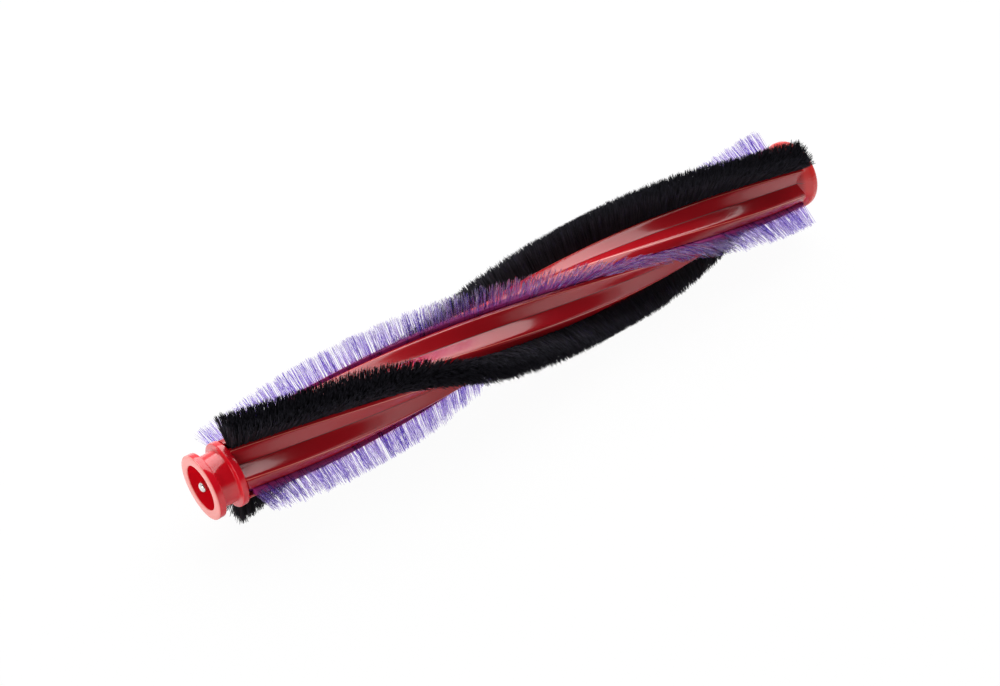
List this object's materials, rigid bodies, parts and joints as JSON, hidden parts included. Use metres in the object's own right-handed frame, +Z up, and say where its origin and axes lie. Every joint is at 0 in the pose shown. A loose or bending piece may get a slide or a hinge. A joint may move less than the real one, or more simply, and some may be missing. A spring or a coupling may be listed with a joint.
{
  "type": "vacuum brush roll",
  "caption": "Brush roll of a stick vacuum: a red core with helical strips of black pile and purple bristles, a spool cap with a steel axle pin, and a drive collar.",
  "frame": {"origin": "on the rotation axis, in the floor of the near end's cup, where the axle pin stands out", "axes": "+X along the rotation axis from the cup end to the drive collar, +Z up with the roll lying on its bristles"},
  "size_m": [0.225, 0.036, 0.0357],
  "materials": {
    "core_red": "glossy moulded plastic, deep red",
    "cap_red": "glossy moulded plastic, bright red",
    "pin_steel": "ground and polished steel",
    "backing_purple": "flexible plastic backing, dark purple",
    "backing_black": "flexible plastic backing, black",
    "bristle_purple": "stiff translucent nylon filaments, purple",
    "pile_black": "dense soft filament pile, black"
  },
  "bodies": {
    "root": {"brush_core": "core_red", "near_end_cap": "cap_red", "axle_pin": "pin_steel", "purple_backing_1": "backing_purple", "purple_backing_2": "backing_purple", "black_backing_1": "backing_black", "black_backing_2": "backing_black", "purple_bristles_1": "bristle_purple", "purple_bristles_2": "bristle_purple", "black_pile_1": "pile_black", "black_pile_2": "pile_black"}
  },
  "joints": []
}
